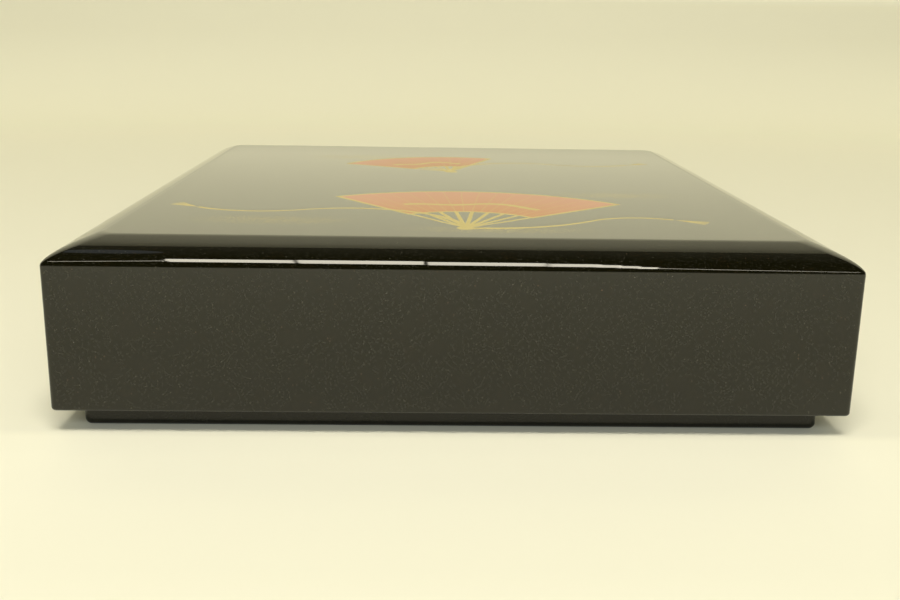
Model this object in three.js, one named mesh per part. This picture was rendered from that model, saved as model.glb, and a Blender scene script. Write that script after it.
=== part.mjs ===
// A black lacquered document box with a deep overlapping lid, closed.
// Millimetres, +Z up. The origin is the centre of the underside, and the narrow front faces -Y.
import * as THREE from "three";

// Overall size, over the lid.
const WIDTH = 270;
const LENGTH = 300;
const HEIGHT = 65.7;

// Lid: a flat top with a crisp edge, a shoulder all round that curves down into the upright sides.
const LID_WALL = 6.8;
const LID_TOP_THICKNESS = 6.6;
const LID_FLOOR_GAP = 8;
const SHOULDER_INSET = 15;
const SHOULDER_RISE = 8.2;
// How the shoulder curves: 1 would be a straight slope, and 2 a parabola.
const SHOULDER_POWER = 1.8;
const LID_CORNER_RADIUS = 2;
const LID_LIP_RADIUS = 1.2;

// Box body: a floor and four walls, open above.
const BODY_WALL = 5.2;
const BODY_FLOOR = 5;
const BODY_CORNER_RADIUS = 2.4;
const BODY_INNER_CORNER_RADIUS = 3;
const BODY_FOOT_RADIUS = 2.2;
const BODY_RIM_RADIUS = 1;
const BODY_COVE_RADIUS = 2;

// Fits: the lid's sides pass round the body with a clearance, and its ceiling seats on the body's rim.
const SIDE_CLEARANCE = 1.4;
const SEAT_GAP = 0.3;

// How finely round stretches are cut into flats, and the radius left at a crisp mitre.
const CORNER_STEPS = 8;
const ARC_STEPS = 8;
const SHOULDER_STEPS = 16;
const CRISP_RADIUS = 0.3;

const QUARTER_TURN = Math.PI / 2;
const HALF_TURN = Math.PI;

// Places that follow from the sizes above. An inset is measured in from the lid's outer faces.
const CEILING_Z = HEIGHT - LID_TOP_THICKNESS;
const RIM_Z = CEILING_Z - SEAT_GAP;
const BODY_INSET = LID_WALL + SIDE_CLEARANCE;
const BODY_INNER_INSET = BODY_INSET + BODY_WALL;
const LID_INNER_CORNER_RADIUS = BODY_CORNER_RADIUS + SIDE_CLEARANCE;

// The corner radius in plan of an outline kept parallel to a known one, down to a crisp mitre.
const parallelTo = (knownInset, knownRadius) => (inset) =>
  Math.max(knownRadius + knownInset - inset, CRISP_RADIUS);

// One ring of the skin: a rectangle with round corners, counter-clockwise seen from above.
function ringPoints({ inset, z, radius }) {
  const x = WIDTH / 2 - inset - radius;
  const y = LENGTH / 2 - inset - radius;
  const cornerCentres = [[x, y], [-x, y], [-x, -y], [x, -y]];
  return cornerCentres.flatMap(([centreX, centreY], corner) =>
    Array.from({ length: CORNER_STEPS + 1 }, (_, step) => {
      const angle = (corner + step / CORNER_STEPS) * QUARTER_TURN;
      const dx = radius * Math.cos(angle);
      const dy = radius * Math.sin(angle);
      return new THREE.Vector3(centreX + dx, centreY + dy, z);
    }),
  );
}

// Rings round a turn of the section. Angle 0 looks outward and a quarter turn looks up.
function turn(centreInset, centreZ, sectionRadius, from, to, cornerRadiusAt) {
  return Array.from({ length: ARC_STEPS + 1 }, (_, step) => {
    const angle = from + ((to - from) * step) / ARC_STEPS;
    const inset = centreInset - sectionRadius * Math.cos(angle);
    const z = centreZ + sectionRadius * Math.sin(angle);
    return { inset, z, radius: cornerRadiusAt(inset) };
  });
}

// The closed skin through a list of rings, which runs from an end face that looks down
// to an end face that looks up. Both end faces are flat.
function skinGeometry(rings) {
  const points = rings.flatMap(ringPoints);
  const ringSize = points.length / rings.length;
  const index = [];
  const next = (i) => (i + 1) % ringSize;
  for (let ring = 0; ring + 1 < rings.length; ring++) {
    const low = ring * ringSize;
    const high = low + ringSize;
    for (let i = 0; i < ringSize; i++) {
      index.push(low + i, low + next(i), high + next(i));
      index.push(low + i, high + next(i), high + i);
    }
  }
  const lastRing = points.length - ringSize;
  const downCentre = points.push(new THREE.Vector3(0, 0, rings[0].z)) - 1;
  const upCentre = points.push(new THREE.Vector3(0, 0, rings.at(-1).z)) - 1;
  for (let i = 0; i < ringSize; i++) {
    index.push(downCentre, next(i), i);
    index.push(upCentre, lastRing + i, lastRing + next(i));
  }
  const geometry = new THREE.BufferGeometry().setFromPoints(points);
  geometry.setIndex(index);
  geometry.computeVertexNormals();
  return geometry;
}

// Rings over the shoulder, a curve that stands upright at the side and is shallowest at the top's edge.
function shoulderRings(cornerRadiusAt) {
  return Array.from({ length: SHOULDER_STEPS + 1 }, (_, step) => {
    const share = step / SHOULDER_STEPS;
    const inset = SHOULDER_INSET * share ** SHOULDER_POWER;
    const z = HEIGHT - SHOULDER_RISE * (1 - share);
    return { inset, z, radius: cornerRadiusAt(inset) };
  });
}

// The lid's section, from its ceiling down the inside, round the lip, up the side and over the shoulder.
function lidRings() {
  const inside = parallelTo(LID_WALL, LID_INNER_CORNER_RADIUS);
  const outside = parallelTo(0, LID_CORNER_RADIUS);
  const lipZ = LID_FLOOR_GAP + LID_LIP_RADIUS;
  return [
    { inset: LID_WALL, z: CEILING_Z, radius: LID_INNER_CORNER_RADIUS },
    ...turn(LID_WALL - LID_LIP_RADIUS, lipZ, LID_LIP_RADIUS, -HALF_TURN, -QUARTER_TURN, inside),
    ...turn(LID_LIP_RADIUS, lipZ, LID_LIP_RADIUS, -QUARTER_TURN, 0, outside),
    ...shoulderRings(outside),
  ];
}

// The body's section, from its underside round the foot, up the side, over the rim and down to the floor.
function bodyRings() {
  const outside = parallelTo(BODY_INSET, BODY_CORNER_RADIUS);
  const inside = parallelTo(BODY_INNER_INSET, BODY_INNER_CORNER_RADIUS);
  const outerTurn = BODY_INSET + BODY_RIM_RADIUS;
  const innerTurn = BODY_INNER_INSET - BODY_RIM_RADIUS;
  const rimTurnZ = RIM_Z - BODY_RIM_RADIUS;
  const footTurn = BODY_INSET + BODY_FOOT_RADIUS;
  const coveTurn = BODY_INNER_INSET + BODY_COVE_RADIUS;
  const coveZ = BODY_FLOOR + BODY_COVE_RADIUS;
  return [
    ...turn(footTurn, BODY_FOOT_RADIUS, BODY_FOOT_RADIUS, -QUARTER_TURN, 0, outside),
    ...turn(outerTurn, rimTurnZ, BODY_RIM_RADIUS, 0, QUARTER_TURN, outside),
    ...turn(innerTurn, rimTurnZ, BODY_RIM_RADIUS, QUARTER_TURN, HALF_TURN, inside),
    ...turn(coveTurn, coveZ, BODY_COVE_RADIUS, 0, -QUARTER_TURN, inside),
  ];
}

// Polished black lacquer. The lower box is a little duller than the lid.
const lidLacquer = new THREE.MeshStandardMaterial({ color: 0x15130f, roughness: 0.1, metalness: 0 });
const bodyLacquer = new THREE.MeshStandardMaterial({ color: 0x171410, roughness: 0.16, metalness: 0 });

function piece(name, rings, material) {
  const mesh = new THREE.Mesh(skinGeometry(rings), material);
  mesh.name = name;
  return mesh;
}

const documentBox = new THREE.Group();
documentBox.add(piece("box_body", bodyRings(), bodyLacquer));
documentBox.add(piece("lid", lidRings(), lidLacquer));

export default documentBox;
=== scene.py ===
# %% [markdown]
# A lacquered document box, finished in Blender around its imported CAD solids.
#
# The real object is two pieces of thin wood under many coats of black lacquer: a low box body, and a deep
# lid that slides down over it. A picture in vermilion and gold powder is painted on the lid and polished
# flush. The scene needs little geometry and very good surfaces, because polished black shows nothing but
# what it mirrors.

# %% Load the frame and note the CAD box
import math

import bmesh
import bpy
from mathutils import Matrix, Vector


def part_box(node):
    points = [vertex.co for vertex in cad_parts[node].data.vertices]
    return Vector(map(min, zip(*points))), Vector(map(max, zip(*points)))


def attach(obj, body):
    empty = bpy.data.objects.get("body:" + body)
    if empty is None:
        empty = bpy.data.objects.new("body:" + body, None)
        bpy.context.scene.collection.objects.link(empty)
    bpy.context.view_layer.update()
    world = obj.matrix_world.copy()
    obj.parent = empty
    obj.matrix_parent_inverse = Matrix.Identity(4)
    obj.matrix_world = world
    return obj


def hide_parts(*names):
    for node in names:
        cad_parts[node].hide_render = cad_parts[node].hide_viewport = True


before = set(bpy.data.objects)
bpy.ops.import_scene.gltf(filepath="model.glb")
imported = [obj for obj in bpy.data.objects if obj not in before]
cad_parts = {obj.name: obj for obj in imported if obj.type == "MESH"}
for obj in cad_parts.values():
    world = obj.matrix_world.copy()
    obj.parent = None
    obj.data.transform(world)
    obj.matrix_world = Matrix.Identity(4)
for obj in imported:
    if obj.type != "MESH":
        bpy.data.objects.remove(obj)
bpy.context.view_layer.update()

MM = 0.001
LID_LOW, LID_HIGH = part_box("lid")
BODY_LOW, BODY_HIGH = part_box("box_body")
WIDTH = LID_HIGH.x - LID_LOW.x
LENGTH = LID_HIGH.y - LID_LOW.y
print("lid over all, mm:", [round(v / MM, 2) for v in LID_HIGH - LID_LOW])

# %% [markdown]
# Both pieces follow one rule: a section is carried round a rectangle with round corners. The section
# holds an inset from the lid's outer faces, a height, and the corner radius in plan. A bevelled cube
# would do for a first look, but its corners can't change radius from the foot to the top, and that is
# what gives a lacquered edge its crisp mitre. So the section is a short list of points, worked out here,
# and a node tree carries it round.

# %% Points of a section
QUARTER_TURN, HALF_TURN = math.pi / 2, math.pi
CRISP_RADIUS = 0.35 * MM
TURN_STEPS = 10


def parallel_to(known_inset, known_radius):
    """Corner radius in plan of an outline parallel to a known one, down to a crisp mitre."""
    return lambda inset: max(known_radius + known_inset - inset, CRISP_RADIUS)


def turn(centre_inset, centre_z, radius, start, end, corner):
    """Section points round a turn. Angle 0 looks outward and a quarter turn looks up."""
    points = []
    for step in range(TURN_STEPS + 1):
        angle = start + (end - start) * step / TURN_STEPS
        inset = centre_inset - radius * math.cos(angle)
        points.append((inset, corner(inset), centre_z + radius * math.sin(angle)))
    return points


print("each turn takes", TURN_STEPS + 1, "points")

# %% [markdown]
# Every tree below, for geometry and for materials, is built by a few helpers. One node at a time would
# also do, but a line that reads like arithmetic is easier to check than five lines that place and link a
# node.

# %% One node at a time
def put(tree, socket, value):
    """Link a socket to another one, or set its plain value."""
    if isinstance(value, bpy.types.NodeSocket):
        tree.links.new(value, socket)
    else:
        socket.default_value = value


def add_node(tree, kind, inputs=None, **settings):
    """A node of one kind, with its settings and its inputs by name."""
    node = tree.nodes.new(kind)
    for name, value in settings.items():
        setattr(node, name, value)
    for name, value in (inputs or {}).items():
        put(tree, node.inputs[name], value)
    return node


def calc(tree, operation, *values, clamp=False):
    """One Math node. Its inputs are numbers or sockets."""
    node = add_node(tree, "ShaderNodeMath", operation=operation, use_clamp=clamp)
    for socket, value in zip(node.inputs, values):
        put(tree, socket, value)
    return node.outputs[0]


def fold(tree, operation, values):
    """One operation taken through a list, such as the smallest of all its values."""
    result = values[0]
    for value in values[1:]:
        result = calc(tree, operation, result, value)
    return result


# %% Vectors, ranges and blends
def split(tree, vector):
    """The X, Y and Z of a vector."""
    return add_node(tree, "ShaderNodeSeparateXYZ", {"Vector": vector}).outputs


def vector_calc(tree, operation, first, second):
    """One Vector Math node with two vectors."""
    return add_node(tree, "ShaderNodeVectorMath", {0: first, 1: second}, operation=operation).outputs[0]


def map_range(tree, value, low, high, to_low=0.0, to_high=1.0):
    """A value carried from one range to another, which stops at the ends."""
    return add_node(tree, "ShaderNodeMapRange", {
        "Value": value, "From Min": low, "From Max": high, "To Min": to_low, "To Max": to_high}).outputs[0]


def mix(tree, factor, first, second, kind="FLOAT"):
    """Blend of two values, or of two colours when kind is RGBA."""
    node = add_node(tree, "ShaderNodeMix", data_type=kind)
    sockets = [socket for socket in node.inputs if socket.enabled]
    for socket, value in zip(sockets, (factor, first, second)):
        put(tree, socket, value)
    return next(socket for socket in node.outputs if socket.enabled)


def mix_colour(tree, factor, first, second):
    return mix(tree, factor, first, second, kind="RGBA")


def object_place(tree):
    """Where a point lies on its object, in metres."""
    return tree.nodes.new("ShaderNodeTexCoord").outputs["Object"]


# %% A group with named sockets
def new_group(name, kind, inputs=(), outputs=()):
    """A node group with named sockets, and the sockets of its input and output nodes."""
    tree = bpy.data.node_groups.new(name, kind)
    for label, socket_type, default in inputs:
        socket = tree.interface.new_socket(label, in_out="INPUT", socket_type=socket_type)
        if default is not None:
            socket.default_value = default
    for label, socket_type in outputs:
        tree.interface.new_socket(label, in_out="OUTPUT", socket_type=socket_type)
    given = tree.nodes.new("NodeGroupInput").outputs
    result = tree.nodes.new("NodeGroupOutput").inputs
    return tree, given, result


def use_group(tree, group, **values):
    """Place a node group in a material, with its own values."""
    node = add_node(tree, "ShaderNodeGroup", node_tree=group)
    for label, value in values.items():
        put(tree, node.inputs[label.replace("_", " ")], value)
    return node.outputs


print("helpers:", [made.__name__ for made in (put, add_node, calc, fold, mix, new_group, use_group)])

# %% [markdown]
# The tree that carries a section starts from a row of mesh vertices, whose X is the inset, Y the corner
# radius and Z the height. It lays out a flat grid with one column for each section point, and moves every
# grid vertex to its place on the rounded rectangle. A loop in Python could write the same points, but in
# nodes the corner steps and the sizes stay inputs that can still be changed.

# %% A flat grid for the skin
CORNERS = 4


def skin_grid(tree, given, position):
    """One column for each section point, and a row for each step round the four corners."""
    columns = add_node(tree, "GeometryNodeAttributeDomainSize", {"Geometry": given["Section"]},
                       component="MESH").outputs["Point Count"]
    per_corner = calc(tree, "ADD", given["Corner Steps"], 1)
    rows = calc(tree, "ADD", calc(tree, "MULTIPLY", per_corner, CORNERS), 1)
    last_column = calc(tree, "SUBTRACT", columns, 1)
    last_row = calc(tree, "SUBTRACT", rows, 1)
    grid = add_node(tree, "GeometryNodeMeshGrid", {
        "Size X": last_column, "Size Y": last_row, "Vertices X": columns, "Vertices Y": rows})
    x, y, _ = split(tree, position)
    column = calc(tree, "ROUND", calc(tree, "ADD", x, calc(tree, "DIVIDE", last_column, 2)))
    row = calc(tree, "ROUND", calc(tree, "ADD", y, calc(tree, "DIVIDE", last_row, 2)))
    return grid.outputs["Mesh"], column, row, per_corner


# %% The place of every vertex
def skin_place(tree, given, position, column, row, per_corner):
    """Where a grid vertex lies on the rounded rectangle."""
    section = add_node(tree, "GeometryNodeSampleIndex", {
        "Geometry": given["Section"], "Index": column, "Value": position}, data_type="FLOAT_VECTOR")
    inset, radius, height = split(tree, section.outputs[0])
    corner = calc(tree, "FLOOR", calc(tree, "DIVIDE", calc(tree, "ADD", row, 0.5), per_corner))
    step = calc(tree, "SUBTRACT", row, calc(tree, "MULTIPLY", corner, per_corner))
    turned = calc(tree, "ADD", corner, calc(tree, "DIVIDE", step, given["Corner Steps"]))
    angle = calc(tree, "MULTIPLY", turned, QUARTER_TURN)
    middle = calc(tree, "MULTIPLY", calc(tree, "ADD", corner, 0.5), QUARTER_TURN)

    def reach(full_size, wave):
        """One coordinate of the outline: out to the corner's centre, then along its arc."""
        drawn_in = calc(tree, "ADD", inset, radius)
        half = calc(tree, "SUBTRACT", calc(tree, "MULTIPLY", full_size, 0.5), drawn_in)
        side = calc(tree, "SIGN", calc(tree, wave, middle))
        along_arc = calc(tree, "MULTIPLY", radius, calc(tree, wave, angle))
        return calc(tree, "ADD", calc(tree, "MULTIPLY", half, side), along_arc)

    return add_node(tree, "ShaderNodeCombineXYZ", {
        "X": reach(given["Width"], "COSINE"), "Y": reach(given["Length"], "SINE"), "Z": height}).outputs[0]


# %% The tree that carries a section round a rectangle
WELD_DISTANCE = 0.001 * MM


def carry_round_tree():
    tree, given, result = new_group(
        "carry_section_round", "GeometryNodeTree",
        [("Section", "NodeSocketGeometry", None), ("Width", "NodeSocketFloat", 0.2),
         ("Length", "NodeSocketFloat", 0.3), ("Corner Steps", "NodeSocketInt", 12),
         ("Material", "NodeSocketMaterial", None)],
        [("Shell", "NodeSocketGeometry")])
    position = tree.nodes.new("GeometryNodeInputPosition").outputs[0]
    grid, column, row, per_corner = skin_grid(tree, given, position)
    place = skin_place(tree, given, position, column, row, per_corner)
    moved = add_node(tree, "GeometryNodeSetPosition", {"Geometry": grid, "Position": place})
    welded = add_node(tree, "GeometryNodeMergeByDistance", {
        "Geometry": moved.outputs[0], "Distance": WELD_DISTANCE})
    real = add_node(tree, "GeometryNodeRealizeInstances", {"Geometry": welded.outputs[0]})
    painted = add_node(tree, "GeometryNodeSetMaterial", {
        "Geometry": real.outputs[0], "Material": given["Material"]})
    tree.links.new(painted.outputs[0], result["Shell"])
    return tree


CARRY_ROUND = carry_round_tree()
print("carry_section_round:", len(CARRY_ROUND.nodes), "nodes")

# %% [markdown]
# A carried section leaves two open ends, one in the hollow and one outside. Each is a flat face on the
# real box, so each is closed with one flat polygon. Edges that turn sharply are marked sharp, so the flat
# top stays flat in the mirror image while the rounded edges beside it flow.

# %% From a section to a mesh
CORNER_STEPS = 14


def carried_mesh(name, section, material):
    """The skin of a section as a plain mesh, still open at both ends."""
    row_mesh = bpy.data.meshes.new(name + "_section")
    row_mesh.from_pydata(section, [(i, i + 1) for i in range(len(section) - 1)], [])
    carrier = bpy.data.objects.new(name + "_carrier", row_mesh)
    bpy.context.scene.collection.objects.link(carrier)
    modifier = carrier.modifiers.new("carry", "NODES")
    modifier.node_group = CARRY_ROUND
    sizes = {"Width": WIDTH, "Length": LENGTH, "Corner Steps": CORNER_STEPS, "Material": material}
    for item in CARRY_ROUND.interface.items_tree:
        if item.in_out == "INPUT" and item.name in sizes:
            modifier[item.identifier] = sizes[item.name]
    seen = carrier.evaluated_get(bpy.context.evaluated_depsgraph_get())
    mesh = bpy.data.meshes.new_from_object(seen)
    mesh.name = name
    bpy.data.objects.remove(carrier)
    return mesh


# %% From a mesh to a finished piece
SHARP_ANGLE = math.radians(28)
CM3_PER_M3 = 1e6


def close_ends(mesh):
    """Close both ends, turn all faces outwards, and measure what came of it."""
    shell = bmesh.new()
    shell.from_mesh(mesh)
    bmesh.ops.holes_fill(shell, edges=[edge for edge in shell.edges if edge.is_boundary])
    bmesh.ops.recalc_face_normals(shell, faces=shell.faces)
    open_edges = sum(not edge.is_manifold for edge in shell.edges)
    volume = shell.calc_volume(signed=True)
    shell.to_mesh(mesh)
    shell.free()
    return open_edges, volume


def shell_piece(name, section, material):
    mesh = carried_mesh(name, section, material)
    open_edges, volume = close_ends(mesh)
    mesh.shade_smooth()
    mesh.set_sharp_from_angle(angle=SHARP_ANGLE)
    piece = bpy.data.objects.new(name, mesh)
    bpy.context.scene.collection.objects.link(piece)
    print(name, "faces:", len(mesh.polygons), "open edges:", open_edges,
          "cm3:", round(volume * CM3_PER_M3, 1))
    return piece


# %% [markdown]
# Now the looks. Black lacquer is a clear coat over black: the colour is almost nothing, and the mirror
# image is nearly all of it. Real polished lacquer isn't perfect, though. The hand that polished it left
# faint waves, and a gleam that changes from place to place. A painted texture could hold both, but noise
# on the object's own coordinates needs no image and has no seams. Both pieces share it, so it is a node
# group.

# %% Hand polishing
WAVES_PER_METRE, WAVE_DETAIL, WAVE_HEIGHT = 55.0, 2.0, 0.02 * MM
# How often the gleam changes in a metre, how finely, and the stretch of the noise that it follows.
GLEAMS_PER_METRE, GLEAM_DETAIL, GLEAM_LOW, GLEAM_HIGH = 18.0, 5.0, 0.35, 0.65


def polish_group():
    tree, given, result = new_group(
        "hand_polish", "ShaderNodeTree",
        [("Wave Depth", "NodeSocketFloat", 0.3), ("Roughness Low", "NodeSocketFloat", 0.03),
         ("Roughness High", "NodeSocketFloat", 0.07)],
        [("Normal", "NodeSocketVector"), ("Roughness", "NodeSocketFloat")])
    place = object_place(tree)
    waves = add_node(tree, "ShaderNodeTexNoise", {
        "Vector": place, "Scale": WAVES_PER_METRE, "Detail": WAVE_DETAIL})
    bump = add_node(tree, "ShaderNodeBump", {
        "Height": waves.outputs[0], "Strength": given["Wave Depth"], "Distance": WAVE_HEIGHT})
    gleam = add_node(tree, "ShaderNodeTexNoise", {
        "Vector": place, "Scale": GLEAMS_PER_METRE, "Detail": GLEAM_DETAIL})
    rough = map_range(tree, gleam.outputs[0], GLEAM_LOW, GLEAM_HIGH,
                      given["Roughness Low"], given["Roughness High"])
    tree.links.new(bump.outputs[0], result["Normal"])
    tree.links.new(rough, result["Roughness"])
    return tree


POLISH = polish_group()
print("hand_polish:", len(POLISH.nodes), "nodes")

# %% [markdown]
# Black lacquer shows every speck. Dust could be scattered as tiny meshes, but at this size a mask is
# enough. A Voronoi texture gives each cell one speck, and its random colour settles whether the speck is
# there, how large it is and whether it is grey or brown. Three sizes are laid over each other: specks,
# large specks and a haze.

# %% Dust, as a mask
# Cells for each metre, the largest radius of a speck in millimetres, the share of cells that hold one,
# and how much it covers.
DUST_LAYERS = [(620.0, 0.20, 0.90, 0.34), (190.0, 0.28, 0.22, 0.9), (1500.0, 0.32, 0.90, 0.06)]
TINTED_LAYER = 1
DUST_GREY, DUST_BROWN = (0.46, 0.43, 0.34, 1), (0.40, 0.23, 0.12, 1)
SMALLEST_SPECK, SPECK_EDGE, BROWN_ABOVE = 0.4, 3.0, 0.8


def dust_layer(tree, place, cells_per_metre, largest, share, cover):
    """Specks of one size: how much they cover, and a random tone for each."""
    cells = add_node(tree, "ShaderNodeTexVoronoi", {"Vector": place, "Scale": cells_per_metre})
    chance, size, tone = add_node(
        tree, "ShaderNodeSeparateColor", {"Color": cells.outputs["Color"]}).outputs
    growth = calc(tree, "MULTIPLY_ADD", size, 1 - SMALLEST_SPECK, SMALLEST_SPECK)
    radius = calc(tree, "MULTIPLY", growth, largest * MM * cells_per_metre)
    nearness = calc(tree, "DIVIDE", cells.outputs["Distance"], radius)
    depth = calc(tree, "SUBTRACT", 1.0, nearness, clamp=True)
    inside = calc(tree, "MULTIPLY", calc(tree, "MULTIPLY", depth, SPECK_EDGE, clamp=True), cover)
    return calc(tree, "MULTIPLY", inside, calc(tree, "LESS_THAN", chance, share)), tone


def dust_group():
    tree, given, result = new_group(
        "settled_dust", "ShaderNodeTree", [("Amount", "NodeSocketFloat", 0.5)],
        [("Mask", "NodeSocketFloat"), ("Tint", "NodeSocketColor")])
    place = object_place(tree)
    layers, tones = zip(*[dust_layer(tree, place, *row) for row in DUST_LAYERS])
    thickest = fold(tree, "MAXIMUM", layers)
    tree.links.new(calc(tree, "MULTIPLY", thickest, given["Amount"], clamp=True), result["Mask"])
    brownish = calc(tree, "GREATER_THAN", tones[TINTED_LAYER], BROWN_ABOVE)
    tree.links.new(mix_colour(tree, brownish, DUST_GREY, DUST_BROWN), result["Tint"])
    return tree


DUST = dust_group()
print("settled_dust:", len(DUST.nodes), "nodes for", len(DUST_LAYERS), "sizes of speck")

# %% [markdown]
# The picture on the lid is only colour, so no mesh is made for it. Each motif is a distance: how far a
# point of the lid is from a stroke or from the edge of a painted area. A distance below nothing is inside
# the paint. Working with distances instead of an image keeps every stroke sharp at any size, and lets a
# brush line swell and thin.

# %% Distances for painted strokes
EDGE_SOFTNESS = 0.12


class Brush:
    """Distances on the lid's top, in millimetres from its centre. y grows towards the back."""

    def __init__(self, tree, x, y):
        self.tree, self.x, self.y = tree, x, y

    def calc(self, operation, *values, clamp=False):
        return calc(self.tree, operation, *values, clamp=clamp)

    def plus(self, first, second):
        return self.calc("ADD", first, second)

    def minus(self, first, second):
        return self.calc("SUBTRACT", first, second)

    def times(self, first, second):
        return self.calc("MULTIPLY", first, second)

    def size(self, value):
        return self.calc("ABSOLUTE", value)

    def within(self, first, second):
        """Distance to what lies inside both of two shapes."""
        return self.calc("MAXIMUM", first, second)

    def polar(self, centre, tilt):
        """Distance from a centre, and the angle from an axis that leans by tilt degrees to the right."""
        dx = self.minus(self.x, centre[0])
        dy = self.minus(self.y, centre[1])
        cosine, sine = math.cos(math.radians(tilt)), math.sin(math.radians(tilt))
        across = self.minus(self.times(dx, cosine), self.times(dy, sine))
        along = self.plus(self.times(dx, sine), self.times(dy, cosine))
        far = self.calc("SQRT", self.plus(self.times(across, across), self.times(along, along)))
        return far, self.calc("ARCTAN2", across, along)

    def sector(self, far, angle, inner, outer, spread):
        """Distance to a part of a ring: below nothing inside it."""
        beside = self.times(self.minus(self.size(angle), math.radians(spread)), far)
        ring = self.within(self.minus(inner, far), self.minus(far, outer))
        return self.within(ring, beside)

    def rays(self, far, angle, inner, outer, spread, count, half_width):
        """Distance to lines that spread evenly from the centre."""
        pitch = math.radians(2 * spread) / (count - 1)
        shifted = self.plus(angle, math.radians(spread) + pitch / 2)
        off = self.minus(self.calc("FLOORED_MODULO", shifted, pitch), pitch / 2)
        line = self.minus(self.times(self.size(off), far), half_width)
        limits = self.sector(far, angle, inner, outer, spread + math.degrees(pitch) / 4)
        return self.within(line, limits)

    def arc(self, centre, radius, start, end, width_start, width_end):
        """Distance to a brush line along an arc. Angles are in degrees, from +x towards +y."""
        middle, half = (start + end) / 2, (end - start) / 2
        far, angle = self.polar(centre, 90 - middle)
        along = self.calc("DIVIDE", angle, -math.radians(half))
        growth, middle_width = (width_end - width_start) / 4, (width_start + width_end) / 4
        swell = self.calc("MULTIPLY_ADD", along, growth, middle_width)
        line = self.minus(self.size(self.minus(far, radius)), swell)
        beyond = self.times(self.minus(self.size(angle), math.radians(abs(half))), radius)
        return self.within(line, beyond)

    def bank(self, x, y, half_length, half_depth):
        """How thick a soft bank of mist is: 1 in its middle, and nothing beyond its edge."""
        across = self.calc("DIVIDE", self.minus(self.x, x), half_length)
        along = self.calc("DIVIDE", self.minus(self.y, y), half_depth)
        square = self.plus(self.times(across, across), self.times(along, along))
        return self.calc("SUBTRACT", 1.0, square, clamp=True)

    def nearest(self, distances):
        return fold(self.tree, "MINIMUM", distances)

    def paint(self, distance):
        """A mask that is 1 inside and fades out over the softness of a painted edge."""
        return self.calc("MULTIPLY_ADD", distance, -0.5 / EDGE_SOFTNESS, 0.5, clamp=True)


# %% [markdown]
# The motifs are folding fans with loose gold cords, an old and common subject on lacquer boxes. A folding
# fan is a paper leaf between two arcs, on thin ribs that meet at a pin. The leaf is vermilion, richer
# near the ribs and paler towards the outer arc, with gold on its borders and a gold band across it. The
# large fan lies in front and the small one behind, with gold cords that swing away from the pins and end
# in tassels.

# %% What is painted, in millimetres and degrees
FANS = [
    dict(pin=(4, -118), tilt=6, spread=43, inner=34, outer=84, ribs=9),
    dict(pin=(2, 30), tilt=-21, spread=43, inner=20, outer=58, ribs=7),
]
CORDS = [
    dict(centre=(-38, -121), radius=42, start=4, end=118, width_start=3.0, width_end=1.6),
    dict(centre=(-75, -51), radius=37, start=298, end=232, width_start=1.6, width_end=2.0),
    dict(centre=(10, -60), radius=58, start=264, end=315, width_start=3.0, width_end=1.6),
    dict(centre=(69.4, -119.4), radius=26, start=135, end=60, width_start=1.6, width_end=2.0),
    dict(centre=(38, 30), radius=36, start=176, end=62, width_start=2.8, width_end=1.6),
    dict(centre=(73, 96), radius=39, start=242, end=302, width_start=1.6, width_end=2.0),
]
# The tassel at each loose end: where it starts, and how far it leans to the right of straight back.
TASSELS = [((-97.8, -80.2), -52), ((82.4, -96.9), 120), ((93.7, 62.9), 58)]
TASSEL_LENGTH, TASSEL_SPREAD, TASSEL_STRANDS, TASSEL_HALF_WIDTH = 13, 13, 5, 0.42
# Soft banks of sprinkled gold: middle, half length and half depth.
MISTS = [(-66, -106, 44, 13), (16, -121, 50, 9), (70, -40, 40, 12), (-44, 84, 46, 16)]
GRAINS_PER_MM, GRAIN_RADIUS = 1.9, 0.36
print("painted:", len(FANS), "fans,", len(CORDS), "cords,", len(TASSELS), "tassels,", len(MISTS), "mists")

# %% The distances of one fan
BORDER, RIB_HALF_WIDTH, PIN_RADIUS = 1.8, 0.8, 3.2
FOLD_HALF_WIDTH, FOLD_STRENGTH = 0.2, 0.5
# The gold band across a leaf: how far up it lies, how much of the leaf's spread it takes, and how it
# waves.
BAND_PLACE, BAND_SHARE, BAND_HALF_WIDTH, BAND_WAVES, BAND_SWING = 0.36, 0.72, 1.7, 9.0, 2.4


def fan_distances(brush, fan):
    """Distances to the leaf, the gold of one fan and its folds, and how far up the leaf a point lies."""
    inner, outer, spread, ribs = fan["inner"], fan["outer"], fan["spread"], fan["ribs"]
    far, angle = brush.polar(fan["pin"], fan["tilt"])
    leaf = brush.sector(far, angle, inner, outer, spread)
    border = brush.minus(brush.size(leaf), BORDER / 2)
    rib_lines = brush.rays(far, angle, 0, inner, spread - 1, ribs, RIB_HALF_WIDTH)
    pin = brush.minus(far, PIN_RADIUS)
    swing = brush.calc("SINE", brush.times(angle, BAND_WAVES))
    wave = brush.calc("MULTIPLY_ADD", swing, BAND_SWING, inner + (outer - inner) * BAND_PLACE)
    band = brush.minus(brush.size(brush.minus(far, wave)), BAND_HALF_WIDTH)
    band = brush.within(band, brush.sector(far, angle, inner, outer, spread * BAND_SHARE))
    gold = brush.nearest([border, rib_lines, pin, band])
    folds = brush.rays(far, angle, inner, outer, spread, 2 * ribs - 1, FOLD_HALF_WIDTH)
    up = brush.calc("DIVIDE", brush.minus(far, inner), outer - inner, clamp=True)
    return leaf, gold, folds, up


# %% The hand that drew it
SHAKES_PER_MM, SHAKE_DETAIL = 0.16, 3.0


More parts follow.
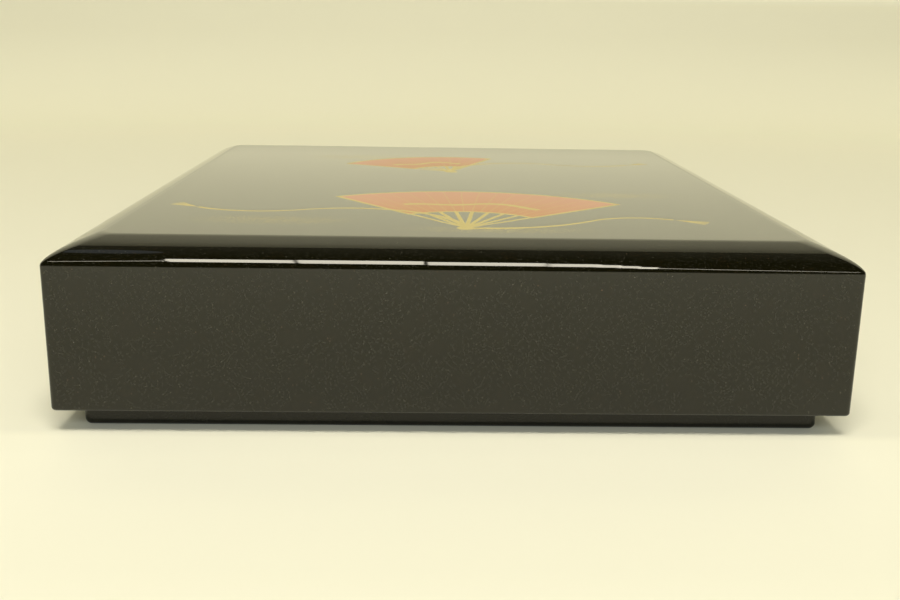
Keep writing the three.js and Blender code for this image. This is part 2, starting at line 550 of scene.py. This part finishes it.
def drawn_place(tree, unsteadiness):
    """A point of the lid in millimetres, and the same point as an unsteady hand would place it."""
    exact = vector_calc(tree, "MULTIPLY", object_place(tree), (1 / MM, 1 / MM, 1 / MM))
    shake = add_node(tree, "ShaderNodeTexNoise", {
        "Vector": exact, "Scale": SHAKES_PER_MM, "Detail": SHAKE_DETAIL})
    centred = vector_calc(tree, "SUBTRACT", shake.outputs["Color"], (0.5, 0.5, 0.5))
    drift = add_node(tree, "ShaderNodeVectorMath", {0: centred, "Scale": unsteadiness}, operation="SCALE")
    return exact, vector_calc(tree, "ADD", exact, drift.outputs[0])


# %% The picture, as three masks
TOP_HEIGHT = LID_HIGH.z / MM
PAINTED_DEPTH = 1


def all_gold(brush, golds, folds_on_leaf, exact):
    """The mask of all gold: fans, cords, tassels and sprinkled grains."""
    tree = brush.tree
    cords = [brush.arc(**cord) for cord in CORDS]
    tassels = [brush.rays(*brush.polar(start, lean), 0, TASSEL_LENGTH, TASSEL_SPREAD, TASSEL_STRANDS,
                          TASSEL_HALF_WIDTH) for start, lean in TASSELS]
    drawn = brush.within(brush.paint(brush.nearest([*golds, *cords, *tassels])), folds_on_leaf)
    grains = add_node(tree, "ShaderNodeTexVoronoi", {"Vector": exact, "Scale": GRAINS_PER_MM})
    bank = fold(tree, "MAXIMUM", [brush.bank(*mist) for mist in MISTS])
    sprinkled = calc(tree, "LESS_THAN", grains.outputs["Distance"], brush.times(bank, GRAIN_RADIUS))
    return calc(tree, "MAXIMUM", drawn, sprinkled)


def picture_group():
    tree, given, result = new_group(
        "fan_picture", "ShaderNodeTree",
        [("Unsteadiness", "NodeSocketFloat", 0.5)],
        [("Vermilion", "NodeSocketFloat"), ("Gold", "NodeSocketFloat"), ("Paleness", "NodeSocketFloat")])
    exact, drawn = drawn_place(tree, given["Unsteadiness"])
    x, y, z = split(tree, drawn)
    brush = Brush(tree, x, y)
    on_top = calc(tree, "GREATER_THAN", z, TOP_HEIGHT - PAINTED_DEPTH)
    leaves, golds, folds, ups = zip(*[fan_distances(brush, fan) for fan in FANS])
    leaf_mask = brush.paint(brush.nearest(leaves))
    fold_mask = brush.times(brush.paint(brush.nearest(folds)), FOLD_STRENGTH)
    gold_mask = all_gold(brush, golds, brush.times(fold_mask, leaf_mask), exact)
    tree.links.new(brush.times(leaf_mask, on_top), result["Vermilion"])
    tree.links.new(brush.times(gold_mask, on_top), result["Gold"])
    tree.links.new(brush.nearest(ups), result["Paleness"])
    return tree


PICTURE = picture_group()
print("fan_picture:", len(PICTURE.nodes), "nodes")

# %% [markdown]
# The lid's material mixes three finishes by the picture's masks. Black lacquer is a smooth mirror with
# almost no colour of its own. Vermilion is the same lacquer with pigment in it. Gold powder is metal, but
# fine grains turned every way make it a broad, soft gleam and not a mirror. The lower box is a little
# duller than the lid, because it was polished less. Three materials on three sets of faces would cut the
# picture into facets, so one material holds them all.

# %% Colours and finishes
BLACK = (0.0046, 0.0042, 0.0010, 1)
VERMILION_DEEP = (0.46, 0.17, 0.035, 1)
VERMILION_PALE = (0.52, 0.22, 0.13, 1)
GOLD = (0.56, 0.46, 0.17, 1)
GOLD_METALLIC = 0.75
PAINT_ROUGHNESS, DUST_ROUGHNESS = 0.34, 0.6
# Gold powder: how fine it is, its lowest roughness, and how much that grows.
POWDER_SCALE, POWDER_DETAIL, POWDER_ROUGHNESS, POWDER_SPAN = 2400.0, 1.0, 0.3, 0.2
DUST_AMOUNT = 0.5
LID_IOR, BODY_IOR = 1.52, 1.43


def new_material(name):
    material = bpy.data.materials.new(name)
    material.use_nodes = True
    return material, material.node_tree, material.node_tree.nodes["Principled BSDF"]


# %% Black lacquer under dust, for the lower box
def body_lacquer():
    material, tree, shader = new_material("body_lacquer")
    polish = use_group(tree, POLISH, Wave_Depth=0.4, Roughness_Low=0.04, Roughness_High=0.09)
    dust = use_group(tree, DUST, Amount=DUST_AMOUNT)
    tree.links.new(mix_colour(tree, dust["Mask"], BLACK, dust["Tint"]), shader.inputs["Base Color"])
    rough = mix(tree, dust["Mask"], polish["Roughness"], DUST_ROUGHNESS)
    tree.links.new(rough, shader.inputs["Roughness"])
    tree.links.new(polish["Normal"], shader.inputs["Normal"])
    shader.inputs["IOR"].default_value = BODY_IOR
    return material


# %% The same with the picture, for the lid
def lid_colour(tree, picture, dust):
    vermilion = mix_colour(tree, picture["Paleness"], VERMILION_DEEP, VERMILION_PALE)
    colour = mix_colour(tree, picture["Vermilion"], BLACK, vermilion)
    colour = mix_colour(tree, picture["Gold"], colour, GOLD)
    return mix_colour(tree, dust["Mask"], colour, dust["Tint"])


def lid_roughness(tree, picture, polish, dust):
    powder = add_node(tree, "ShaderNodeTexNoise", {
        "Vector": object_place(tree), "Scale": POWDER_SCALE, "Detail": POWDER_DETAIL})
    painted = mix(tree, picture["Vermilion"], polish["Roughness"], PAINT_ROUGHNESS)
    gilded = calc(tree, "MULTIPLY_ADD", powder.outputs[0], POWDER_SPAN, POWDER_ROUGHNESS)
    rough = mix(tree, picture["Gold"], painted, gilded)
    return mix(tree, dust["Mask"], rough, DUST_ROUGHNESS)


def lid_lacquer():
    material, tree, shader = new_material("lid_lacquer")
    picture = use_group(tree, PICTURE, Unsteadiness=0.7)
    polish = use_group(tree, POLISH, Wave_Depth=0.3, Roughness_Low=0.02, Roughness_High=0.05)
    dust = use_group(tree, DUST, Amount=DUST_AMOUNT)
    tree.links.new(lid_colour(tree, picture, dust), shader.inputs["Base Color"])
    tree.links.new(calc(tree, "MULTIPLY", picture["Gold"], GOLD_METALLIC), shader.inputs["Metallic"])
    tree.links.new(lid_roughness(tree, picture, polish, dust), shader.inputs["Roughness"])
    tree.links.new(polish["Normal"], shader.inputs["Normal"])
    shader.inputs["IOR"].default_value = LID_IOR
    return material


LID_LACQUER, BODY_LACQUER = lid_lacquer(), body_lacquer()
print("materials:", [made.name for made in (LID_LACQUER, BODY_LACQUER)])

# %% [markdown]
# The lid's section runs from its ceiling down the inside, round the lip, up the side and over the
# shoulder. The shoulder's inset grows as a power of its height: upright where it leaves the side,
# shallowest at the flat top. A plain bevel has the same width all the way, but this growing curve is what
# squeezes the whole studio above into a few dark and light bands along the edge. The edge of the top and
# the mitres are a little rounder than they were cut, as years of polishing leave them.

# %% Sizes of the lid
LID_WALL = 6.8 * MM
LID_CORNER_RADIUS, ARRIS_CORNER_RADIUS = 2 * MM, 5.5 * MM
LID_LIP_RADIUS = 1.2 * MM
SHOULDER_INSET, SHOULDER_RISE, SHOULDER_POWER = 15 * MM, 8.2 * MM, 1.8
SHOULDER_STEPS = 48
ARRIS_RADIUS = 8 * MM
SEAT_GAP = 0.3 * MM
BODY_INSET = BODY_LOW.x - LID_LOW.x
BODY_CORNER_RADIUS = 2.4 * MM
LID_INNER_CORNER_RADIUS = BODY_CORNER_RADIUS + BODY_INSET - LID_WALL
print("the body stands in by", round(BODY_INSET / MM, 2), "mm")


# %% The lid
def worn(inset):
    """The shoulder's corner radius, which grows as the polishing has rounded its mitres."""
    return LID_CORNER_RADIUS + (ARRIS_CORNER_RADIUS - LID_CORNER_RADIUS) * min(inset / SHOULDER_INSET, 1)


def shoulder_points():
    """The shoulder's curve, and the soft edge where it meets the top."""
    top_z = LID_HIGH.z
    slope = math.atan2(SHOULDER_RISE, SHOULDER_POWER * SHOULDER_INSET)
    reach = ARRIS_RADIUS * math.tan(slope / 2)
    points = []
    for step in range(SHOULDER_STEPS + 1):
        share = step / SHOULDER_STEPS
        inset = SHOULDER_INSET * share ** SHOULDER_POWER
        if inset < SHOULDER_INSET - 2 * reach:
            points.append((inset, worn(inset), top_z - SHOULDER_RISE * (1 - share)))
    return points + turn(SHOULDER_INSET + reach, top_z - ARRIS_RADIUS, ARRIS_RADIUS,
                         QUARTER_TURN - slope, QUARTER_TURN, worn)


def lid_section():
    inside = parallel_to(LID_WALL, LID_INNER_CORNER_RADIUS)
    outside = parallel_to(0, LID_CORNER_RADIUS)
    lip_z = LID_LOW.z + LID_LIP_RADIUS
    ceiling = [(LID_WALL, LID_INNER_CORNER_RADIUS, BODY_HIGH.z + SEAT_GAP)]
    inner_lip = turn(LID_WALL - LID_LIP_RADIUS, lip_z, LID_LIP_RADIUS, -HALF_TURN, -QUARTER_TURN, inside)
    outer_lip = turn(LID_LIP_RADIUS, lip_z, LID_LIP_RADIUS, -QUARTER_TURN, 0, outside)
    return ceiling + inner_lip + outer_lip + shoulder_points()


lid_shell = shell_piece("lid_shell", lid_section(), LID_LACQUER)

# %% [markdown]
# The box body's section goes the other way about: from the underside round the foot, up the outside, over
# the rim and down inside to the floor. Most of it is hidden, but the lid lifts off, so the inside is
# finished too. A hollowed block would look the same when closed, but carrying one section gives even
# walls and round inner edges.

# %% The box body
BODY_WALL, BODY_FLOOR = 5.2 * MM, 5 * MM
BODY_INNER_CORNER_RADIUS, BODY_FOOT_RADIUS = 3 * MM, 2.2 * MM
RIM_RADIUS, COVE_RADIUS = 1 * MM, 2 * MM


def body_section():
    inner_inset = BODY_INSET + BODY_WALL
    outside = parallel_to(BODY_INSET, BODY_CORNER_RADIUS)
    inside = parallel_to(inner_inset, BODY_INNER_CORNER_RADIUS)
    rim_z = BODY_HIGH.z - RIM_RADIUS
    foot = turn(BODY_INSET + BODY_FOOT_RADIUS, BODY_FOOT_RADIUS, BODY_FOOT_RADIUS,
                -QUARTER_TURN, 0, outside)
    outer_rim = turn(BODY_INSET + RIM_RADIUS, rim_z, RIM_RADIUS, 0, QUARTER_TURN, outside)
    inner_rim = turn(inner_inset - RIM_RADIUS, rim_z, RIM_RADIUS, QUARTER_TURN, HALF_TURN, inside)
    cove = turn(inner_inset + COVE_RADIUS, BODY_FLOOR + COVE_RADIUS, COVE_RADIUS,
                0, -QUARTER_TURN, inside)
    return foot + outer_rim + inner_rim + cove


body_shell = shell_piece("body_shell", body_section(), BODY_LACQUER)

# %% [markdown]
# Each finished piece now takes the place of its CAD solid. The lid only rests on the box, with no hinge,
# so both ride on the same body. Keeping the solids visible under the shells would double every surface.

# %% Tie the pieces to the frame
for piece, node, slot in ((lid_shell, "lid", "lid_lacquer"), (body_shell, "box_body", "body_lacquer")):
    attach(piece, "root")
    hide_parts(node)
    print(piece.name, "takes the place of", node)

# %% [markdown]
# Polished black is lit by what stands round it, so the studio is part of the look. A pale sheet lies
# under the box and curves up behind it. Its own gentle glow stands for the lights that wash it. Lamps
# aimed at the sheet would be closer to a real studio, but the lid mirrors the wall from low down, and a
# glow can be set for each height: what the camera sees above the box and what the lid mirrors are two
# different parts of one wall.

# %% The shape of the sheet, in metres
SHEET_FRONT, SHEET_TURN, SHEET_WALL, SHEET_TOP = -3.2, 1.0, 1.65, 2.65
SHEET_HALF_WIDTH, SHEET_STEPS = 3.2, 24


def sheet_outline():
    """Points in the Y-Z plane: flat floor, a quarter round, and an upright wall."""
    radius = SHEET_WALL - SHEET_TURN
    points = [(SHEET_FRONT, 0.0)]
    for step in range(SHEET_STEPS + 1):
        angle = QUARTER_TURN * step / SHEET_STEPS
        points.append((SHEET_TURN + radius * math.sin(angle), radius * (1 - math.cos(angle))))
    return points + [(SHEET_WALL, SHEET_TOP)]


def sheet_mesh():
    outline = sheet_outline()
    count = len(outline)
    vertices = [(x, y, z) for x in (-SHEET_HALF_WIDTH, SHEET_HALF_WIDTH) for y, z in outline]
    faces = [(i, i + count, i + count + 1, i + 1) for i in range(count - 1)]
    mesh = bpy.data.meshes.new("sheet")
    mesh.from_pydata(vertices, [], faces)
    mesh.shade_smooth()
    return mesh


# %% How strongly the sheet glows
# Degrees up from the lid's front edge, and the wall's glow there.
WALL_STOPS = ((0, 0.17), (4, 0.17), (5.4, 0.50), (8, 0.45), (11, 0.43), (14, 0.45), (30, 0.52),
              (48, 0.66), (51, 0.59), (53, 0.38))
WALL_SPAN = 60
# Metres in front of the box's middle, and the glow of the strip of floor before the box.
FRONT_STOPS = ((0, 0.0), (0.146, 0.0), (0.152, 0.09), (0.170, 0.09), (0.185, 0.074), (0.203, 0.055),
               (0.220, 0.026), (0.240, 0.0))
FRONT_SPAN, STRIP_HALF_WIDTH, STRIP_END = 0.3, 0.13, 0.20
# The floor glows from here to there, in metres from the box's middle, and the wall starts at this height.
FLOOR_NEAR, FLOOR_FAR, FLOOR_GLOW, WALL_FOOT = 0.3, 1.8, 0.33, 0.12
# High on the wall the glow fades to the sides: from this rise, over these metres, down to this share.
FADE_LOW, FADE_HIGH, FADE_NEAR, FADE_FAR, FADE_SHARE = 38, 50, 0.2, 1.0, 0.72


def glow_ramp(tree, value, span, stops):
    """Glow along a span, from stops of place and glow."""
    ramp = add_node(tree, "ShaderNodeValToRGB", {"Fac": calc(tree, "DIVIDE", value, span, clamp=True)})
    elements = ramp.color_ramp.elements
    for place, glow in stops:
        element = elements.new(place / span) if place else elements[0]
        element.color = (glow, glow, glow, 1)
    elements[-1].color = (0.0, 0.0, 0.0, 1)
    return ramp.outputs[0]


def floor_glow(tree, x, y):
    """Nothing near the box, more far out, and a lit strip in front of it."""
    away = calc(tree, "SQRT", calc(tree, "ADD", calc(tree, "MULTIPLY", x, x), calc(tree, "MULTIPLY", y, y)))
    broad = map_range(tree, away, FLOOR_NEAR, FLOOR_FAR, 0.0, FLOOR_GLOW)
    in_front = glow_ramp(tree, calc(tree, "MULTIPLY", y, -1), FRONT_SPAN, FRONT_STOPS)
    beside = map_range(tree, calc(tree, "ABSOLUTE", x), STRIP_HALF_WIDTH, STRIP_END, 1.0, 0.0)
    return calc(tree, "ADD", broad, calc(tree, "MULTIPLY", in_front, beside))


def wall_glow(tree, x, y, z):
    """Glow by the rise above the lid's front edge, which is where the lid's top mirrors from."""
    rise = calc(tree, "ARCTAN2", calc(tree, "SUBTRACT", z, LID_HIGH.z), calc(tree, "ADD", y, LENGTH / 2))
    up_wall = glow_ramp(tree, calc(tree, "DIVIDE", rise, math.radians(1)), WALL_SPAN, WALL_STOPS)
    aside = map_range(tree, calc(tree, "ABSOLUTE", x), FADE_NEAR, FADE_FAR, 1.0, FADE_SHARE)
    high_up = map_range(tree, rise, math.radians(FADE_LOW), math.radians(FADE_HIGH))
    return calc(tree, "MULTIPLY", up_wall, mix(tree, high_up, 1.0, aside))


# %% The sheet
CREAM, GLOW_COLOUR = (0.86, 0.836, 0.675, 1), (1.0, 0.945, 0.655, 1)
PAPER_ROUGHNESS, PAPER_SPECULAR = 0.9, 0.1


def sheet_paper():
    material, tree, shader = new_material("sheet_paper")
    x, y, z = split(tree, object_place(tree))
    on_wall = map_range(tree, z, 0.0, WALL_FOOT)
    glow = mix(tree, on_wall, floor_glow(tree, x, y), wall_glow(tree, x, y, z))
    shader.inputs["Base Color"].default_value = CREAM
    shader.inputs["Roughness"].default_value = PAPER_ROUGHNESS
    shader.inputs["Specular IOR Level"].default_value = PAPER_SPECULAR
    shader.inputs["Emission Color"].default_value = GLOW_COLOUR
    tree.links.new(glow, shader.inputs["Emission Strength"])
    return material


sheet = bpy.data.objects.new("sheet", sheet_mesh())
sheet.data.materials.append(sheet_paper())
bpy.context.scene.collection.objects.link(sheet)
print("sheet:", len(sheet.data.polygons), "strips")

# %% [markdown]
# Each light is put where its mirror image belongs. The shoulder mirrors the room above it, squeezed to a
# few pixels, so a light's rise, in degrees from the horizon behind the box, settles how high its line
# runs on the shoulder, and its x settles where along the edge. A row of panels makes the thick white line
# with its small dark joints. The last ones are narrow and step down, so the line thins, and two tubes
# carry it on to both corners. They are mirrored but don't light the scene.
#
# The light itself comes from a key above the front edge, which also throws the shadow under the lid, and
# a soft fill in front that lifts this shadow. They aren't mirrored, so the shoulder stays black below the
# line.

# %% Hanging a light
AIM = Vector((0, -LENGTH / 2, LID_HIGH.z))


def hang_light(name, shape, across, rise, distance, width, depth, askew=0):
    """An area light that faces the front edge of the lid."""
    light = bpy.data.lights.new(name, "AREA")
    light.shape, light.size, light.size_y = shape, width, depth
    lamp = bpy.data.objects.new(name, light)
    towards = Vector((0, math.cos(math.radians(rise)), math.sin(math.radians(rise))))
    level = towards.to_track_quat("Z", "Y").to_matrix().to_4x4()
    place = Matrix.Translation(AIM + Vector((across, 0, 0)) + towards * distance)
    lamp.matrix_world = place @ level @ Matrix.Rotation(math.radians(askew), 4, "Z")
    lamp.visible_camera = False
    bpy.context.scene.collection.objects.link(lamp)
    return lamp


def shine(lamp, colour, brightness):
    """Give a light its colour and its radiance."""
    area = lamp.data.size * lamp.data.size_y
    if lamp.data.shape == "ELLIPSE":
        area *= math.pi / 4
    lamp.data.color, lamp.data.energy = colour, brightness * math.pi * area


# %% Lights that are only mirrored
MIRRORED_COLOUR, MIRRORED_BRIGHTNESS = (1.0, 0.935, 0.76), 13.5
MIRRORED_DISTANCE = 1.10
# Name, place across the box, rise, width, depth and how far askew, in metres and degrees.
MIRRORED_LIGHTS = [
    ("panel_a", -0.2955, 93.0, 0.185, 0.30, 0),
    ("panel_b", -0.1060, 93.5, 0.182, 0.36, 0),
    ("panel_c", 0.0775, 96.0, 0.173, 0.36, 0),
    ("panel_d", 0.2065, 98.0, 0.075, 0.34, 0),
    ("panel_e", 0.2590, 101.0, 0.032, 0.32, 0),
    ("panel_f", 0.2890, 105.0, 0.030, 0.30, 0),
    ("panel_g", 0.3180, 110.0, 0.030, 0.26, 0),
    ("tube_left", -0.4820, 101.5, 0.310, 0.018, 54),
    ("tube_right", 0.4850, 121.5, 0.560, 0.03, -50),
]
WINDOW_COLOUR, WINDOW_BRIGHTNESS = (0.8, 0.9, 1.0), 0.3

for name, across, rise, width, depth, askew in MIRRORED_LIGHTS:
    lamp = hang_light(name, "RECTANGLE", across, rise, MIRRORED_DISTANCE, width, depth, askew)
    shine(lamp, MIRRORED_COLOUR, MIRRORED_BRIGHTNESS)
    lamp.visible_diffuse = False
window = hang_light("window", "ELLIPSE", -0.46, 65, MIRRORED_DISTANCE, 0.16, 0.15)
shine(window, WINDOW_COLOUR, WINDOW_BRIGHTNESS)
window.visible_diffuse = False
print("mirrored:", len(MIRRORED_LIGHTS) + 1, "lights")

# %% Lights that light the box
KEY_COLOUR, KEY_BRIGHTNESS = (1.0, 0.955, 0.85), 16.3
FILL_COLOUR, FILL_BRIGHTNESS = (0.88, 0.95, 1.0), 4.1

key = hang_light("key", "RECTANGLE", -0.03, 113, 1.6, 0.87, 0.44)
shine(key, KEY_COLOUR, KEY_BRIGHTNESS)
fill = hang_light("fill", "RECTANGLE", -0.03, 150, 1.7, 1.6, 0.6)
shine(fill, FILL_COLOUR, FILL_BRIGHTNESS)
for unseen in (key, fill):
    unseen.visible_glossy = False
    print(unseen.name, "watts:", round(unseen.data.energy, 1))

# %% [markdown]
# The world has three answers: what the camera sees past the sheet, what polish mirrors, and what fills
# the shadows. One even colour would do for a matt object, but on black polish it would lie over
# everything like fog.

# %% The room
ROOM_COLOUR = (1.0, 0.95, 0.70, 1)
SEEN_STRENGTH, MIRRORED_STRENGTH = 0.82, 0.2
# Light from low down: where it ends, as the Z of its direction, and its strength.
LOW_START, LOW_END, LOW_STRENGTH = 0.1, 0.3, 0.85
# Light from above: where it fades, in degrees of rise, and its two strengths.
HIGH_START, HIGH_END, HIGH_STRENGTH, ZENITH_STRENGTH = 56, 76, 0.1, 0.02


def light_room():
    world = bpy.data.worlds.new("room")
    world.use_nodes = True
    tree = world.node_tree
    back = tree.nodes["Background"]
    _, y, z = split(tree, tree.nodes.new("ShaderNodeTexCoord").outputs["Generated"])
    low = map_range(tree, z, LOW_START, LOW_END, LOW_STRENGTH, 0.0)
    upper = map_range(tree, calc(tree, "ARCTAN2", z, y), math.radians(HIGH_START), math.radians(HIGH_END),
                      HIGH_STRENGTH, ZENITH_STRENGTH)
    path = tree.nodes.new("ShaderNodeLightPath").outputs
    filling = calc(tree, "MAXIMUM", low, upper)
    strength = mix(tree, path["Is Glossy Ray"], MIRRORED_STRENGTH, filling)
    strength = mix(tree, path["Is Camera Ray"], strength, SEEN_STRENGTH)
    back.inputs["Color"].default_value = ROOM_COLOUR
    tree.links.new(strength, back.inputs["Strength"])
    bpy.context.scene.world = world
    print("room:", len(tree.nodes), "nodes")


light_room()

# %% [markdown]
# The camera stands where the photograph was taken: low, close and almost square to the narrow front. Its
# place and turn were found by fitting the box's own edges, so they are plain measured values.

# %% The camera
CAMERA_PLACE = Vector((-10.4, -484.1, 134.7)) * MM
PITCH, YAW, ROLL = (math.radians(v) for v in (14.58, -1.43, 0.93))
FOCAL_PIXELS, FRAME_WIDTH, SENSOR_WIDTH = 1055, 900, 36
NEAREST, FARTHEST = 0.01, 20


def place_camera():
    data = bpy.data.cameras.new("camera")
    data.sensor_width = SENSOR_WIDTH
    data.lens = FOCAL_PIXELS / FRAME_WIDTH * SENSOR_WIDTH
    data.clip_start, data.clip_end = NEAREST, FARTHEST
    camera = bpy.data.objects.new("camera", data)
    right = Vector((math.cos(YAW), math.sin(YAW), 0))
    forward = Vector((-math.sin(YAW) * math.cos(PITCH), math.cos(YAW) * math.cos(PITCH), -math.sin(PITCH)))
    up = right.cross(forward)
    rolled_right = right * math.cos(ROLL) + up * math.sin(ROLL)
    rolled_up = up * math.cos(ROLL) - right * math.sin(ROLL)
    turned = Matrix((rolled_right, rolled_up, -forward)).transposed()
    camera.matrix_world = Matrix.Translation(CAMERA_PLACE) @ turned.to_4x4()
    bpy.context.scene.collection.objects.link(camera)
    bpy.context.scene.camera = camera
    print("lens, mm:", round(data.lens, 2))


place_camera()
bpy.context.scene.view_settings.view_transform = "Standard"
